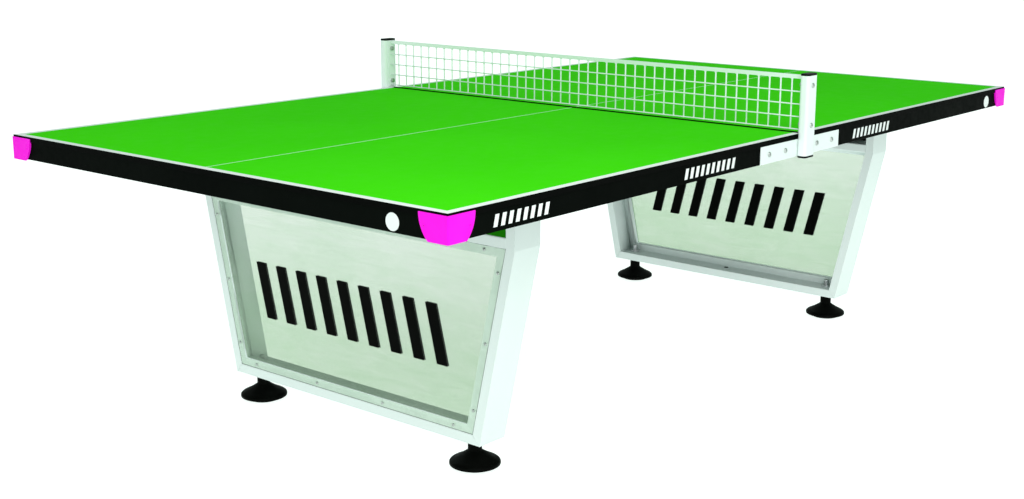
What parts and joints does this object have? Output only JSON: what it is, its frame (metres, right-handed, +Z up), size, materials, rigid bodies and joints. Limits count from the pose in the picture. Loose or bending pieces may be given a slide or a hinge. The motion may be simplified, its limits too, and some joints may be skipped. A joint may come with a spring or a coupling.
{
  "type": "table tennis table",
  "caption": "Static outdoor table tennis table with a steel mesh net, two white trapezoid leg frames with clear panels, corner guards and levelling feet.",
  "frame": {"origin": "centre of the table's footprint, on the floor", "axes": "+X along the table from the near end to the far end, +Y across it from the right side to the left side, +Z up"},
  "size_m": [2.7474, 1.584, 0.918],
  "materials": {
    "laminate_black": "satin",
    "court_green": "satin",
    "line_white": "matte",
    "frame_black": "satin powder coat",
    "guard_magenta": "satin",
    "paint_white": "satin powder coat",
    "zinc_steel": "zinc plated",
    "stainless_steel": "bright",
    "cap_black": "satin",
    "nut_black": "matte",
    "foot_black": "matte",
    "panel_clear": "clear",
    "vinyl_black": "matte",
    "vinyl_white": "matte"
  },
  "bodies": {
    "table": {"core_near": "laminate_black", "core_far": "laminate_black", "surface_near": "court_green", "surface_far": "court_green", "court_lines": "line_white", "end_rail_near": "frame_black", "end_rail_far": "frame_black", "side_rail_near_right": "frame_black", "side_rail_near_left": "frame_black", "side_rail_far_right": "frame_black", "side_rail_far_left": "frame_black", "centre_rail_near": "frame_black", "centre_rail_far": "frame_black", "leg_beam_near": "frame_black", "leg_beam_far": "frame_black", "stringers": "frame_black", "seam_bolts": "zinc_steel", "fascia_boards": "laminate_black", "fascia_sheets": "court_green", "guard_near_right": "guard_magenta", "guard_near_left": "guard_magenta", "guard_far_right": "guard_magenta", "guard_far_left": "guard_magenta", "guard_rivets": "guard_magenta", "post_plate_right": "paint_white", "post_plate_left": "paint_white", "plate_bolts": "stainless_steel", "post_right": "paint_white", "post_left": "paint_white", "post_caps": "cap_black", "post_bolts": "stainless_steel", "net_band": "paint_white", "net_mesh": "paint_white", "net_flange_right": "paint_white", "net_flange_left": "paint_white", "leg_near_bottom": "paint_white", "leg_near_top": "paint_white", "leg_near_right": "paint_white", "leg_near_left": "paint_white", "leg_far_bottom": "paint_white", "leg_far_top": "paint_white", "leg_far_right": "paint_white", "leg_far_left": "paint_white", "panel_near": "panel_clear", "panel_far": "panel_clear", "panel_screws": "stainless_steel", "leg_top_plates": "paint_white", "leg_bolts": "zinc_steel", "panel_marks": "vinyl_black", "rail_marks": "vinyl_white", "foot_bushes": "zinc_steel", "foot_locknuts": "nut_black"},
    "pad_near_right": {"pad_near_right": "foot_black"},
    "stem_near_right": {"stem_near_right": "zinc_steel"},
    "pad_near_left": {"pad_near_left": "foot_black"},
    "stem_near_left": {"stem_near_left": "zinc_steel"},
    "pad_far_right": {"pad_far_right": "foot_black"},
    "stem_far_right": {"stem_far_right": "zinc_steel"},
    "pad_far_left": {"pad_far_left": "foot_black"},
    "stem_far_left": {"stem_far_left": "zinc_steel"}
  },
  "joints": [
    {"name": "foot_near_right_height", "type": "slide", "parent": "table", "child": "pad_near_right", "axis": [0, 0, -1], "range_m": [0, 0.025]},
    {"name": "foot_near_right_screw", "type": "hinge", "parent": "pad_near_right", "child": "stem_near_right", "pos_m": [-0.8846, -0.3937, 0.02], "axis": [0, 0, -1], "range_deg": [0, 3600]},
    {"name": "foot_near_left_height", "type": "slide", "parent": "table", "child": "pad_near_left", "axis": [0, 0, -1], "range_m": [0, 0.025]},
    {"name": "foot_near_left_screw", "type": "hinge", "parent": "pad_near_left", "child": "stem_near_left", "pos_m": [-0.8846, 0.3937, 0.02], "axis": [0, 0, -1], "range_deg": [0, 3600]},
    {"name": "foot_far_right_height", "type": "slide", "parent": "table", "child": "pad_far_right", "axis": [0, 0, -1], "range_m": [0, 0.025]},
    {"name": "foot_far_right_screw", "type": "hinge", "parent": "pad_far_right", "child": "stem_far_right", "pos_m": [0.8846, -0.3937, 0.02], "axis": [0, 0, -1], "range_deg": [0, 3600]},
    {"name": "foot_far_left_height", "type": "slide", "parent": "table", "child": "pad_far_left", "axis": [0, 0, -1], "range_m": [0, 0.025]},
    {"name": "foot_far_left_screw", "type": "hinge", "parent": "pad_far_left", "child": "stem_far_left", "pos_m": [0.8846, 0.3937, 0.02], "axis": [0, 0, -1], "range_deg": [0, 3600]}
  ],
  "couplings": [
    {"joint": "foot_near_right_screw", "follows": "foot_near_right_height", "rad_per_m": 2513.3},
    {"joint": "foot_near_left_screw", "follows": "foot_near_left_height", "rad_per_m": 2513.3},
    {"joint": "foot_far_right_screw", "follows": "foot_far_right_height", "rad_per_m": 2513.3},
    {"joint": "foot_far_left_screw", "follows": "foot_far_left_height", "rad_per_m": 2513.3}
  ]
}
